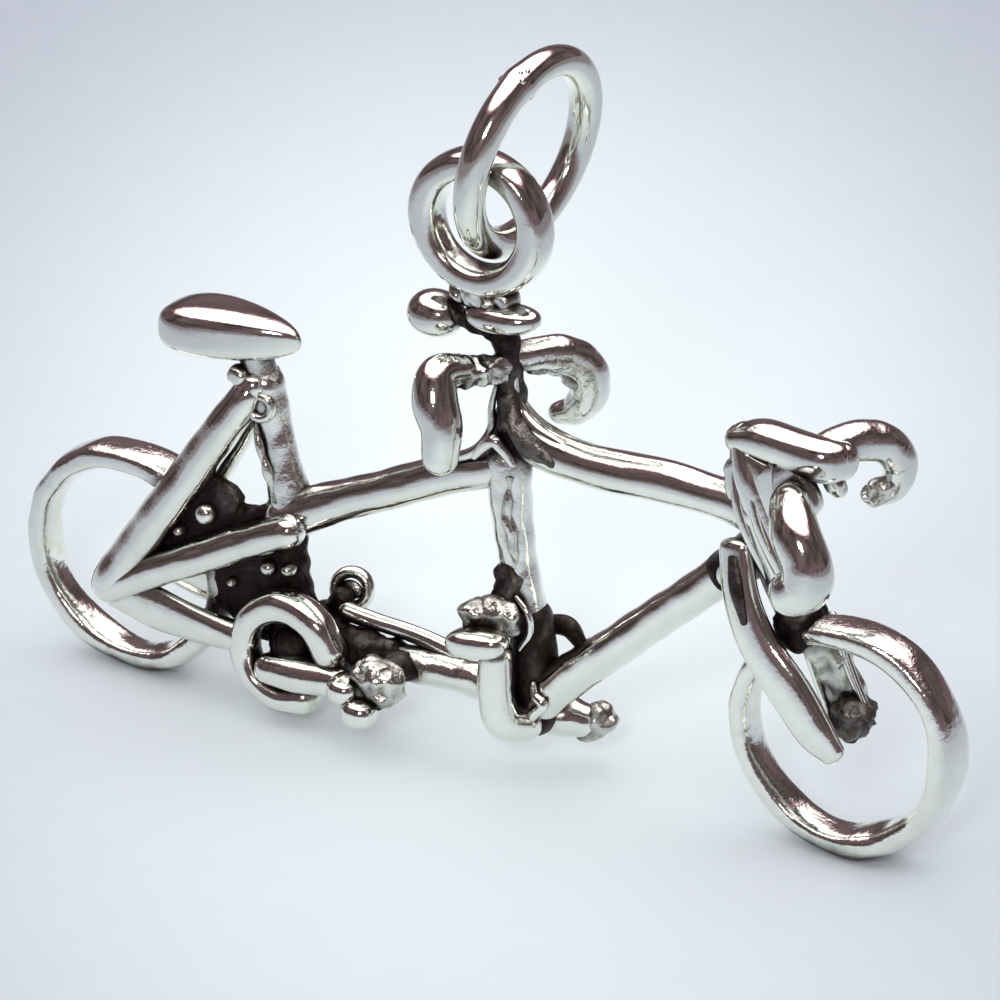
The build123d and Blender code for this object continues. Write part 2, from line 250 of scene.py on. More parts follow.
def skin(name, grids, finish, rings=False, body="charm", nodes=(), warp=1.0, raised=True):
    """One piece from one or more closed grids of points in millimetres. raised grids are
    measured from the ground line and are moved down to it."""
    points, faces, first = [], [], 0
    for grid in grids:
        rows, columns = grid.shape[:2]
        flat = grid.reshape(-1, 3)
        if not rings:
            flat = np.vstack([flat, grid[0].mean(0), grid[-1].mean(0)])
        faces += faces_of(rows, columns, rings, first)
        points.append(flat)
        first += len(flat)
    points = np.vstack(points)
    if raised:
        points = points + np.array([0, 0, GROUND])
    points = cast(points, warp)
    mesh = bpy.data.meshes.new(name)
    mesh.from_pydata((points * MM).tolist(), [], faces)
    outward(mesh)
    mesh.polygons.foreach_set("use_smooth", np.ones(len(mesh.polygons), bool))
    piece = bpy.data.objects.new(name, mesh)
    bpy.context.scene.collection.objects.link(piece)
    mesh.materials.append(finish)
    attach(piece, body)
    if nodes:
        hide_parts(*nodes)
    return piece


def outward(mesh):
    """Turns every closed part of a mesh so that its faces point outwards."""
    work = bmesh.new()
    work.from_mesh(mesh)
    bmesh.ops.recalc_face_normals(work, faces=work.faces)
    work.to_mesh(mesh)
    work.free()
    mesh.update()


def grains(centres, sizes, seed):
    """Solder grains: small rounded lumps, one grid each, with sizes and turns that differ."""
    rng = np.random.default_rng(seed)
    halves = np.array(sizes)[:, None] * rng.uniform(0.75, 1.2, (len(sizes), 3))
    angles = rng.uniform(0, 180, (len(sizes), 3))
    return [lump(c, h, 2.2, a, 9, 12) for c, h, a in zip(centres, halves, angles)]


# ---------------------------------------------------------------- shader arithmetic
class Wire:
    """A socket that can stand in sums, differences and products; each adds a Math node."""

    def __init__(self, tree, socket):
        self.tree, self.socket = tree, socket

    def maths(self, operation, first, second, clamp=False):
        node = put(self.tree, "ShaderNodeMath", {"operation": operation, "use_clamp": clamp},
                   {0: first, 1: second})
        return Wire(self.tree, node.outputs[0])

    def __add__(self, other):
        return self.maths("ADD", self, other)

    def __sub__(self, other):
        return self.maths("SUBTRACT", self, other)

    def __rsub__(self, other):
        return self.maths("SUBTRACT", other, self)

    def __mul__(self, other):
        return self.maths("MULTIPLY", self, other)

    def clamp(self):
        return self.maths("ADD", self, 0.0, True)

    __radd__, __rmul__ = __add__, __mul__


def put(tree, kind, settings=None, inputs=None):
    """Adds one node: its settings first, then the values or links of its sockets."""
    node = tree.nodes.new(kind)
    for key, value in (settings or {}).items():
        setattr(node, key, value)
    for key, value in (inputs or {}).items():
        socket = node.inputs[key]
        if isinstance(value, Wire):
            tree.links.new(value.socket, socket)
        else:
            socket.default_value = value
    return node


def wire(tree, kind, output, settings=None, inputs=None):
    """Adds one node and gives one of its outputs."""
    return Wire(tree, put(tree, kind, settings, inputs).outputs[output])


def blended(tree, share, first, second):
    """A colour between two, by share."""
    node = put(tree, "ShaderNodeMix", {"data_type": "RGBA"}, {0: share, 6: first, 7: second})
    return Wire(tree, node.outputs[2])


def silver(name, slot, shift, metal, tarnish, recess=2.4, clean=0.4, patches=0.5, grain=0.3,
           rough=0.09):
    """Cast silver. Dirt is the share of a hollow that is closed in, times recess, plus broad
    noise times patches and some middle noise, less clean, held between 0 and 1. It turns
    the metal to tarnish and roughens it. Finer noise gives the casting its grain."""
    found = bpy.data.materials.get(name)
    if found:
        return found
    material = bpy.data.materials.new(name)
    material["slot"] = slot
    material.use_nodes = True
    tree = material.node_tree
    tree.nodes.clear()
    place = wire(tree, "ShaderNodeTexCoord", "Object")
    place = wire(tree, "ShaderNodeMapping", 0, None, {"Vector": place, "Scale": (1000, 1000, 1000),
                                                      "Location": (shift, shift * 0.7, -shift)})

    def noise(scale, detail, roughness=0.55):
        return wire(tree, "ShaderNodeTexNoise", 0, None,
                    {"Vector": place, "Scale": scale, "Detail": detail, "Roughness": roughness})

    broad, middle, fine = noise(0.6, 2.0), noise(2.4, 4.0, 0.6), noise(9.0, 3.0)
    opened = wire(tree, "ShaderNodeAmbientOcclusion", "AO", {"samples": 8},
                  {"Distance": DIRT_REACH})
    dirt = ((1.0 - opened) * recess + (broad - 0.5) * patches + (middle - 0.5) * 0.8
            - clean).clamp()
    worn = blended(tree, (middle * 1.8 - 0.4).clamp(), (*metal, 1),
                   (metal[0] * 0.9, metal[1] * 0.92, metal[2] * 0.84, 1))
    colour = blended(tree, dirt, worn, (*tarnish, 1))
    roughness = dirt * 0.3 + (fine - 0.5) * 0.1 + rough
    height = middle * 0.6 + fine * 0.16 + dirt * fine * 0.9
    normal = wire(tree, "ShaderNodeBump", 0, None,
                  {"Strength": grain, "Distance": GRAIN_HEIGHT, "Height": height})
    shader = put(tree, "ShaderNodeBsdfPrincipled", None,
                 {"Base Color": colour, "Metallic": 1.0, "Roughness": roughness, "Normal": normal})
    out = put(tree, "ShaderNodeOutputMaterial")
    tree.links.new(shader.outputs[0], out.inputs[0])
    return material


# ---------------------------------------------------------------- settings
def length(name, description, default):
    return FloatProperty(name=name, description=description, default=default, unit="LENGTH",
                         subtype="DISTANCE", precision=6, min=0.0)


def shade(name, description, default):
    return FloatVectorProperty(name=name, description=description, default=default, size=3,
                               subtype="COLOR", min=0.0, max=1.0)


class CharmSizes(bpy.types.PropertyGroup):
    """Thicknesses of the castings."""
    tube: length("Frame tube", "Thickness of the frame tubes", 1.02 * MM)
    stay: length("Stay", "Thickness of the bars beside the rear wheel", 0.94 * MM)
    grip: length("Handlebar", "Thickness of the handlebar wire", 0.84 * MM)
    wheel: length("Wheel", "Outside of a wheel ring", float(WHEEL_HIGH[2] - WHEEL_LOW[2]) * MM)
    tyre: length("Tyre width", "Width of a wheel ring", float(WHEEL_HIGH[1] - WHEEL_LOW[1]) * MM)
    wire: length("Jump ring wire", "Thickness of the jump ring's wire", 0.76 * MM)
    link: length("Jump ring", "Middle of the jump ring's wire, across the ring", 4.46 * MM)
    eye_hole: length("Eye hole", "Hole of the hanging eye", 2.12 * MM)


class CharmColours(bpy.types.PropertyGroup):
    """Colours of the silver, its tarnish and the studio."""
    metal: shade("Silver", "Polished silver", (0.885, 0.89, 0.855))
    ring: shade("Ring silver", "The jump ring's silver", (0.88, 0.89, 0.84))
    tarnish: shade("Tarnish", "Darkened silver in hollows", (0.085, 0.06, 0.058))
    black: shade("Blackening", "The darkest, unpolished hollows", (0.028, 0.02, 0.018))
    floor: shade("Floor", "The pale surface", (0.80, 0.862, 0.894))
    room: shade("Room", "What the silver reflects from the sides", (0.115, 0.075, 0.088))
    tent: FloatProperty(name="Tent light", description="Brightness of the light overhead",
                        default=2.1)


def sizes():
    """The sizes set in the panel."""
    return bpy.context.scene.charm_sizes


def half(name):
    """Half of a size, in millimetres."""
    return getattr(sizes(), name) / MM / 2


def polished():
    """Clean silver with dirt in its hollows only."""
    look = bpy.context.scene.charm_colours
    return silver("polished_silver_cast", "polished_silver", 0.0, tuple(look.metal),
                  tuple(look.tarnish))


def rubbed():
    """Silver that kept more of its blackening."""
    look = bpy.context.scene.charm_colours
    return silver("rubbed_silver_cast", "polished_silver", 3.1, tuple(look.metal),
                  tuple(look.tarnish), recess=2.6, clean=0.22, patches=1.2, grain=0.75, rough=0.12)


def blackened():
    """Silver that was never polished."""
    look = bpy.context.scene.charm_colours
    return silver("blackened_silver_cast", "oxidised_silver", 7.7, (0.36, 0.33, 0.31),
                  tuple(look.black), recess=1.4, clean=-0.78, patches=1.2, grain=0.9, rough=0.17)


def grimy():
    """Rough solder, half rubbed bright and half black."""
    look = bpy.context.scene.charm_colours
    return silver("grimy_silver_solder", "polished_silver", 5.3, (0.8, 0.79, 0.75),
                  tuple(look.black), recess=2.2, clean=-0.12, patches=2.2, grain=1.0, rough=0.14)


def ring_finish():
    """Drawn wire: smooth, bright and hardly dirty."""
    look = bpy.context.scene.charm_colours
    return silver("drawn_silver_wire", "ring_silver", 12.3, tuple(look.ring), tuple(look.tarnish),
                  recess=0.7, clean=0.42, patches=0.5, grain=0.16, rough=0.1)


def mirrored(rows, side):
    """Stations written for the right side, or their mirror image for the left."""
    return [(r[0], r[1] * (1 if side < 0 else -1), *r[2:]) for r in rows]


# ---------------------------------------------------------------- operators
# Stations are x, y and z, half width and, where given, half height, in millimetres. Their z
# counts from the ground line.
class Maker:
    """What every maker of pieces shares."""
    bl_options = {"REGISTER", "UNDO"}

    def execute(self, context):
        self.make()
        return {"FINISHED"}


class CHARM_OT_wheels(Maker, bpy.types.Operator):
    """Both wheels: plain crowned rings whose band swells and thins as a hand-bent strip does"""
    bl_idname = "charm.wheels"
    bl_label = "Wheels"

    def make(self):
        radius, half_axial, half_radial = half("wheel"), half("tyre"), TYRE_HALF_THICKNESS
        for node, phase in (("rear_wheel_ring", 2.2), ("front_wheel_ring", 0.9)):
            low, high = node_box(node)

            def swell(angle):
                size = 0.95 + 0.08 * np.sin(angle + phase) + 0.03 * np.sin(5 * angle + 2 * phase)
                return size, half_radial * (1 - size) - 0.02

            grid = hoop((low + high) / 2, (0, 1, 0), radius - half_radial, half_radial,
                        half_axial, TYRE_SQUARE, 200, 40, swell)
            skin(node + "_band", [grid], rubbed(), True, nodes=[node], raised=False, warp=1.9)


class CHARM_OT_frame_tubes(Maker, bpy.types.Operator):
    """The frame's tubes, thicker where they are soldered together"""
    bl_idname = "charm.frame_tubes"
    bl_label = "Frame tubes"

    def make(self):
        r = half("tube")
        tubes = {
            "head_tube": (polished(), [
                (6.85, 0, 9.7, 0.7 * r), (7.15, 0, 8.8, 1.15 * r), (7.65, 0, 7.6, 1.25 * r),
                (7.95, 0, 6.5, 1.1 * r), (8.12, 0, 5.85, 0.9 * r)]),
            "front_top_tube": (polished(), [
                (0.78, 0, 9.6, 0.5 * r), (0.88, 0, 9.0, 0.75 * r), (1.5, 0, 8.34, 1.05 * r),
                (2.7, 0, 8.12, r), (4.6, 0, 8.14, 0.98 * r), (6.3, 0, 8.08, r),
                (7.25, 0, 8.05, 1.25 * r)]),
            "front_seat_tube": (rubbed(), [
                (0.74, 0, 7.8, 1.02 * r), (0.8, 0, 6.6, 0.98 * r), (1.0, 0, 5.2, 0.92 * r),
                (1.25, 0, 3.6, r)]),
            "rear_top_tube": (polished(), [
                (-5.25, 0, 4.95, 1.2 * r), (-4.2, 0, 5.45, 1.02 * r), (-2.2, 0, 6.4, 0.95 * r),
                (-0.4, 0, 7.2, 0.95 * r), (0.55, 0, 7.6, 0.9 * r)]),
            "down_tube": (polished(), [
                (1.3, 0, 1.6, 1.15 * r), (2.4, 0, 2.65, 1.02 * r), (4.3, 0, 4.35, 0.95 * r),
                (6.2, 0, 6.07, 0.95 * r), (7.3, 0, 7.05, 1.15 * r)]),
            "boom_tube": (rubbed(), [
                (-4.7, 0, 1.9, 0.9 * r), (-2.4, 0, 1.9, 0.82 * r), (-0.6, 0, 1.9, 0.86 * r),
                (1.4, 0, 1.9, r)]),
            "boom_rod": (polished(), [
                (-3.75, 0.2, 2.72, 0.44 * r), (-2.4, 0.2, 2.6, 0.4 * r),
                (-0.8, 0.2, 2.32, 0.46 * r)]),
            "rear_seat_tube": (rubbed(), [
                (-5.85, 0, 8.1, r), (-5.5, 0, 6.8, 0.8 * r), (-5.2, 0, 5.3, 1.0 * r)]),
            "stoker_post": (rubbed(), [
                (-6.22, 0, 9.25, 1.1 * r), (-6.05, 0, 8.7, 0.8 * r), (-5.9, 0, 8.1, 0.85 * r)]),
            "down_tube_collar": (blackened(), [
                (6.42, 0, 6.27, 0.98 * r), (6.7, 0, 6.52, 1.0 * r)]),
            "rear_bb_shell": (blackened(), [
                (-4.75, -0.55, 1.9, 1.05 * r), (-4.75, 0.9, 1.9, 1.05 * r)]),
            "front_bb_shell": (blackened(), [
                (1.46, 0, 1.5, 1.12 * r), (1.4, 0, 2.6, 1.1 * r), (1.3, 0, 3.85, r)]),
        }
        for node, (finish, stations) in tubes.items():
            grid = bar(stations)
            if finish != polished():
                grid = gnarled(grid, *SOFT_KNOBS)
            skin(node + "_casting", [grid], finish, nodes=[node])
        post = bar([(0.62, 0, 10.95, 0.34), (0.68, 0, 10.1, 0.33), (0.78, 0, 9.3, 0.36),
                    (0.8, 0, 8.6, 0.44), (0.8, 0, 8.0, 0.44), (0.78, 0, 7.6, 0.36)])
        # Painted shadow: a near-black bar laid along the front top tube's curve below the post
        # darkens it into a band.
        painted_shadow_run = bar([(0.84, -0.2, 9.4, 0.22), (1.05, -0.3, 8.85, 0.3), (1.5, -0.38, 8.42, 0.3),
                   (2.1, -0.42, 8.16, 0.16)])
        skin("captain_post_casting", [gnarled(post, 0.04), gnarled(painted_shadow_run, 0.03)], blackened())
        branch = bar([(0.52, -0.24, 9.6, 0.06), (0.44, -0.3, 9.1, 0.09), (0.46, -0.36, 8.6, 0.1),
                      (0.2, -0.42, 8.1, 0.13), (-0.5, -0.42, 7.68, 0.12),
                      (-1.3, -0.36, 7.28, 0.07)])
        edge = bar([(0.92, -0.1, 10.0, 0.08), (1.04, -0.14, 9.3, 0.12), (1.5, -0.2, 8.8, 0.15),
                    (2.3, -0.2, 8.52, 0.1)])
        peak = bar([(0.1, -0.46, 7.9, 0.09), (0.6, -0.58, 8.4, 0.15), (0.82, -0.56, 8.3, 0.14),
                    (1.1, -0.5, 7.9, 0.08)])
        skin("captain_post_fillets", [branch, edge, peak], polished())
        seam = bar([(0.98, -0.4, 7.5, 0.06), (0.98, -0.46, 6.7, 0.12), (1.1, -0.44, 6.0, 0.13),
                    (1.15, -0.42, 5.3, 0.07)])
        skin("front_seat_tube_seam", [gnarled(seam, 0.04, 6.0)], grimy())
        foot = bar([(0.85, -0.1, 5.3, 0.3), (0.95, -0.15, 4.7, 0.5), (1.05, -0.1, 4.0, 0.52)])
        skin("front_seat_tube_solder", [gnarled(foot)], blackened())
        lower = bar([(-5.2, -0.05, 5.1, 0.42), (-5.05, -0.05, 3.5, 0.4), (-4.85, 0, 1.9, 0.5)])
        skin("rear_seat_tube_foot", [gnarled(lower, 0.04)], blackened())
        ridge = bar([(-5.9, -0.36, 7.4, 0.07), (-5.75, -0.42, 6.8, 0.11), (-5.5, -0.42, 6.1, 0.12),
                     (-5.3, -0.4, 5.5, 0.07)])
        skin("rear_seat_tube_ridge", [gnarled(ridge, 0.03, 5.0)], grimy())
        mass = bar([(-4.4, -0.2, 1.95, 0.6), (-3.4, -0.15, 2.0, 0.55), (-2.3, -0.05, 1.95, 0.42),
                    (-1.6, 0, 1.9, 0.26)])
        skin("boom_tube_solder", [gnarled(mass, 0.05, 8.0)], blackened())


class CHARM_OT_stays(Maker, bpy.types.Operator):
    """The three bars each side of the rear wheel, and the dark web between them"""
    bl_idname = "charm.stays"
    bl_label = "Stays and web"

    def make(self):
        r = half("stay")
        for side, word in ((-1, "right"), (1, "left")):
            seat = mirrored([(-9.62, -1.02, 2.55, 0.98 * r), (-9.35, -1.0, 3.0, 1.05 * r),
                             (-7.7, -0.74, 5.5, 1.03 * r), (-6.3, -0.46, 7.65, 0.92 * r),
                             (-5.98, -0.34, 8.2, 0.7 * r)], side)
            middle = mirrored([(-9.5, -1.02, 2.6, r), (-8.6, -0.98, 3.05, 0.92 * r),
                               (-6.8, -0.8, 3.95, 0.94 * r), (-4.85, -0.66, 4.9, 0.9 * r)], side)
            chain = mirrored([(-9.5, -1.0, 2.35, 0.5 * r, 0.9 * r),
                              (-8.6, -0.98, 2.2, 0.5 * r, 1.15 * r),
                              (-7.4, -0.95, 2.0, 0.55 * r, 1.05 * r),
                              (-5.9, -0.92, 1.95, 0.7 * r, 0.8 * r)], side)
            skin(f"{word}_seat_stay_casting", [bar(seat)], polished(), nodes=[f"{word}_seat_stay"])
            skin(f"{word}_mid_stay_casting", [bar(middle)], polished(), nodes=[f"{word}_mid_stay"])
            skin(f"{word}_chain_stay_casting", [bar(chain, side=(0, 1, 0))], polished(),
                 nodes=[f"{word}_chain_stay"])
        upper = bar([(-8.8, -0.62, 3.3, 0.16, 0.2), (-8.3, -0.58, 3.9, 0.2, 0.55),
                     (-7.8, -0.54, 4.4, 0.22, 0.86), (-7.3, -0.5, 4.75, 0.24, 1.05),
                     (-6.85, -0.46, 4.72, 0.24, 0.95), (-6.45, -0.4, 4.55, 0.26, 0.62),
                     (-6.0, -0.34, 4.6, 0.26, 0.5), (-5.5, -0.26, 4.8, 0.28, 0.5),
                     (-5.0, -0.2, 4.9, 0.28, 0.4)], side=(0, 1, 0), square=3.2, around=48)
        lower = bar([(-6.95, -0.3, 2.8, 0.26, 0.55), (-6.5, -0.3, 2.95, 0.32, 1.1),
                     (-5.8, -0.28, 3.05, 0.34, 1.35), (-5.0, -0.2, 3.2, 0.34, 1.3)],
                    side=(0, 1, 0), square=3.4, around=48)
        skin("rear_web_casting", [gnarled(upper, 0.03), gnarled(lower, 0.03)], blackened(),
             nodes=["rear_web"])
        places = (((-7.1, -0.74, 4.82), 0.27), ((-7.75, -0.76, 4.3), 0.17),
                  ((-5.45, -0.58, 3.75), 0.22), ((-6.4, -0.56, 3.2), 0.14),
                  ((-4.95, -0.5, 3.8), 0.18))
        bosses = [lump(c, (h, 0.26, h)) for c, h in places]
        skin("rear_web_bosses", bosses, rubbed())
        clamp = lump((-6.32, -0.42, 8.42), (0.26, 0.22, 0.22), 3.0, (0, 25, 0))
        loop = hoop((-5.72, -0.42, 7.75), (0.2, -1, 0.1), 0.26, 0.12, 0.14, along=48, around=16)
        skin("stoker_post_clamp", [clamp], polished())
        skin("rear_seat_tube_loop", [loop], rubbed(), True)


class CHARM_OT_steering(Maker, bpy.types.Operator):
    """Stem, captain's handlebar, fork crown, blades and the stub of the axle"""
    bl_idname = "charm.steering"
    bl_label = "Fork and steering"

    def make(self):
        g = half("grip")
        stem = bar([(6.72, 0, 9.66, 0.36, 0.32), (7.3, 0, 9.76, 0.52, 0.44),
                    (8.1, 0, 9.66, 0.54, 0.5), (8.85, 0, 9.6, 0.5, 0.52),
                    (9.15, 0.3, 9.55, 0.4, 0.46)], side=(0, 1, 0), square=2.3)
        gusset = bar([(6.85, -0.2, 9.2, 0.24, 0.42), (7.3, -0.22, 8.75, 0.3, 0.85),
                      (7.9, -0.24, 8.6, 0.3, 0.95), (8.5, -0.2, 8.95, 0.26, 0.66)],
                     side=(0, 1, 0), square=4.5, around=48)
        tab = bar([(8.9, 0.1, 9.3, 0.2), (9.05, 0.2, 9.0, 0.24), (9.12, 0.25, 8.86, 0.2)],
                  square=3.0)
        skin("captain_stem_casting", [stem, gusset, tab], polished(), nodes=["captain_stem"])
        fins = [bar([(6.8 + d, -0.34, 9.1, 0.1), (7.0 + d, -0.5, 8.3, 0.15),
                     (7.4 + d, -0.54, 7.4, 0.15), (7.75 + d, -0.42, 6.5, 0.1)])
                for d in (0.0, 0.42)]
        skin("head_tube_fins", fins, polished())
        right = [(8.3, -0.55, 8.8, 0.85 * g), (8.62, -1.15, 8.88, 1.12 * g),
                 (9.08, -1.76, 8.6, 1.32 * g), (9.48, -1.96, 8.0, 1.34 * g),
                 (9.5, -1.98, 7.5, 1.4 * g), (9.18, -1.98, 7.25, 1.3 * g)]
        left = [(8.6, 0.2, 9.55, 1.1 * g), (9.02, 1.1, 9.7, 1.12 * g),
                (9.45, 1.75, 9.48, 1.05 * g), (9.72, 2.06, 8.95, 0.95 * g),
                (9.6, 2.1, 8.35, 0.8 * g), (9.2, 2.1, 8.1, 0.8 * g)]
        skin("captain_bar_right_casting", [bar(right, along=96, around=40)], polished(),
             nodes=["captain_bar_right"])
        skin("captain_bar_left_casting", [gnarled(bar(left, along=110), 0.012, 4.0)], rubbed(),
             nodes=["captain_bar_left"])
        hook = bar([(9.72, 1.9, 8.9, 0.2), (9.5, 1.88, 8.3, 0.24), (9.15, 1.85, 8.12, 0.28)])
        skin("captain_bar_left_hook", [gnarled(hook, 0.06, 8.0)], grimy())
        near = bar([(6.98, -0.6, 7.25, 0.24, 0.42), (7.25, -0.8, 6.1, 0.28, 0.46),
                    (7.75, -0.92, 5.2, 0.3, 0.5), (8.6, -0.98, 4.2, 0.31, 0.54),
                    (9.3, -1.0, 3.35, 0.28, 0.48), (9.75, -0.98, 2.9, 0.2, 0.32)],
                   side=(0, 1, 0), square=2.1, along=96)
        skin("fork_leg_right_casting", [near], polished(), nodes=["fork_leg_right"])
        slot = bar([(7.04, -0.84, 7.1, 0.08, 0.13), (7.22, -1.03, 6.4, 0.08, 0.18),
                    (7.5, -1.14, 5.7, 0.06, 0.1)], side=(0, 1, 0))
        skin("fork_leg_right_slot", [slot], blackened())
        line = [(8.35, 0.66, 5.3), (8.75, 0.78, 4.3), (9.3, 0.84, 3.05)]
        far = bar([(*c, 0.26, h) for c, h in zip(line, (0.46, 0.54, 0.5))], side=(0, 1, 0),
                  square=3.2)
        skin("fork_leg_left_casting", [gnarled(far, 0.07)], grimy(), nodes=["fork_leg_left"])
        rims = [bar([(c[0] + 0.93 * d, 0.66, c[2] + 0.37 * d, 0.12) for c in line])
                for d in (-0.5, 0.5)]
        skin("fork_leg_left_rims", rims, polished())
        crown = lump((8.3, 0, 5.44), (0.52, 0.62, 0.6), 3.0, (0, 20, 0))
        skin("fork_crown_casting", [gnarled(crown, 0.08)], blackened(), nodes=["fork_crown"])
        stub = lump((9.4, 0.6, 3.1), (0.48, 0.5, 0.55), 3.2, (0, 25, 0))
        skin("front_axle_casting", [gnarled(stub, 0.09, 8.0)], blackened(), nodes=["front_axle"])


class CHARM_OT_stoker_bars(Maker, bpy.types.Operator):
    """The stoker's handlebar, two drops from the captain's seat post"""
    bl_idname = "charm.stoker_bars"
    bl_label = "Stoker's handlebar"

    def make(self):
        g = half("grip")
        right = [(0.1, -1.05, 10.25, 0.8 * g), (-0.2, -1.6, 10.26, 1.08 * g),
                 (-0.12, -1.86, 9.72, 1.26 * g), (0.12, -1.98, 9.15, 1.14 * g),
                 (0.1, -2.0, 8.5, 1.06 * g)]
        left = [(0.62, 0.2, 10.2, 0.85 * g), (1.3, 1.09, 10.15, g), (1.72, 1.74, 9.66, 1.1 * g),
                (1.76, 1.93, 9.0, 1.1 * g), (1.42, 1.93, 8.45, 0.9 * g),
                (1.0, 1.85, 8.25, 0.7 * g)]
        skin("stoker_bar_right_casting", [bar(right, along=96, around=40)], polished(),
             nodes=["stoker_bar_right"])
        arm = bar([(0.62, -0.15, 10.05, 0.8 * g), (0.2, -0.85, 10.15, 0.82 * g),
                   (-0.15, -1.35, 10.3, 0.8 * g)])
        skin("stoker_bar_right_arm", [gnarled(arm, 0.06, 8.0)], grimy())
        skin("stoker_bar_left_casting", [gnarled(bar(left, along=96), *SOFT_KNOBS)], rubbed(),
             nodes=["stoker_bar_left"])
        inner = bar([(1.0, 0.7, 9.95, 0.24), (1.5, 1.3, 9.75, 0.26), (1.62, 1.6, 9.3, 0.22)])
        skin("stoker_bar_left_solder", [gnarled(inner, 0.05, 8.0)], grimy())


class CHARM_OT_saddles(Maker, bpy.types.Operator):
    """The stoker's teardrop saddle and the captain's small, creased one"""
    bl_idname = "charm.saddles"
    bl_label = "Saddles"

    def make(self):
        low, high = node_box("stoker_saddle")
        middle, size = (low + high) / 2, (high - low) / 2
        tail = (low[0] + 0.12, 0, middle[2] - 0.04)
        nose = (high[0] + 0.16, 0, middle[2] + 0.12)
        skin("stoker_saddle_casting", [teardrop(tail, nose, size[1], size[2] * 1.12)], polished(),
             nodes=["stoker_saddle"], raised=False, warp=0.6)
        low, high = node_box("captain_saddle")
        middle = (low + high) / 2
        back = lump((low[0] + 0.66, -0.16, middle[2] - 0.12), (0.68, 0.6, 0.52), 2.15, (0, 8, 0))
        front = lump((high[0] - 0.98, -0.12, middle[2] + 0.14), (0.98, 0.5, 0.36), 2.15,
                     (0, -5, 0))
        skin("captain_saddle_casting", [back, front], polished(), nodes=["captain_saddle"],
             raised=False)
        crease = bar([(-0.6, -0.3, 11.3, 0.12), (-0.3, -0.3, 11.12, 0.16),
                      (0.2, -0.25, 10.98, 0.18), (0.66, -0.1, 10.84, 0.24)])
        skin("captain_saddle_crease", [gnarled(crease, 0.05, 7.0)], blackened())


class CHARM_OT_rear_cranks(Maker, bpy.types.Operator):
    """Open chainring, crank bars and pedals of the stoker's set"""
    bl_idname = "charm.rear_cranks"
    bl_label = "Rear cranks"

    def make(self):
        """The chainring is a bar along an arc, thicker and thinner by two slow waves."""
        x, y, z = -4.77, -0.86, 1.82
        radius, opens, closes = 1.18, 14, 292
        angle = np.radians(np.linspace(opens, closes, 9))
        ring = np.stack([x + radius * np.cos(angle), np.full(9, y), z + radius * np.sin(angle),
                         0.42 + 0.04 * np.sin(angle * 2), 0.38 + 0.06 * np.cos(angle - 0.6)], 1)
        skin("chainring_casting", [bar(ring, side=(0, 1, 0), square=2.3, along=120)], polished(),
             nodes=["chainring"])
        arm = bar([(-5.15, -1.0, 1.4, 0.4), (-4.4, -1.02, 1.42, 0.45), (-3.3, -1.05, 1.48, 0.38)])
        skin("rear_crank_right_casting", [arm], polished(), nodes=["rear_crank_right"])
        block = lump((-2.25, -1.0, 1.75), (0.64, 0.5, 0.6), 2.6, (0, 10, 8), 48, 64)
        ends = [lump((-2.42, -1.55, 1.12), (0.44, 0.42, 0.36), 2.3),
                lump((-2.9, -1.35, 1.55), (0.4, 0.5, 0.36), 2.5)]
        skin("rear_pedal_right_casting", [gnarled(block, 0.06, 8.0)], grimy(),
             nodes=["rear_pedal_right"])
        skin("rear_pedal_right_ends", ends, polished())
        dark = gnarled(lump((-2.0, -0.45, 2.0), (0.5, 0.4, 0.34), 2.4))
        behind = gnarled(lump((-4.7, -0.5, 1.9), (0.85, 0.22, 0.8), 2.6), 0.06)
        skin("rear_crank_solder", [dark, behind], blackened())
        skin("rear_crank_left_casting", [bar([(-4.75, 0.9, 1.9, 0.32), (-4.35, 0.95, 2.6, 0.3)])],
             blackened(), nodes=["rear_crank_left"])
        loop = hoop((-4.3, 1.3, 2.72), (0.25, -0.9, 0.3), 0.42, 0.15, 0.2, along=64, around=20)
        skin("rear_pedal_left_casting", [loop], rubbed(), True, nodes=["rear_pedal_left"])
        skin("rear_pedal_left_core", [lump((-4.3, 1.3, 2.72), (0.3, 0.14, 0.24))], rubbed())


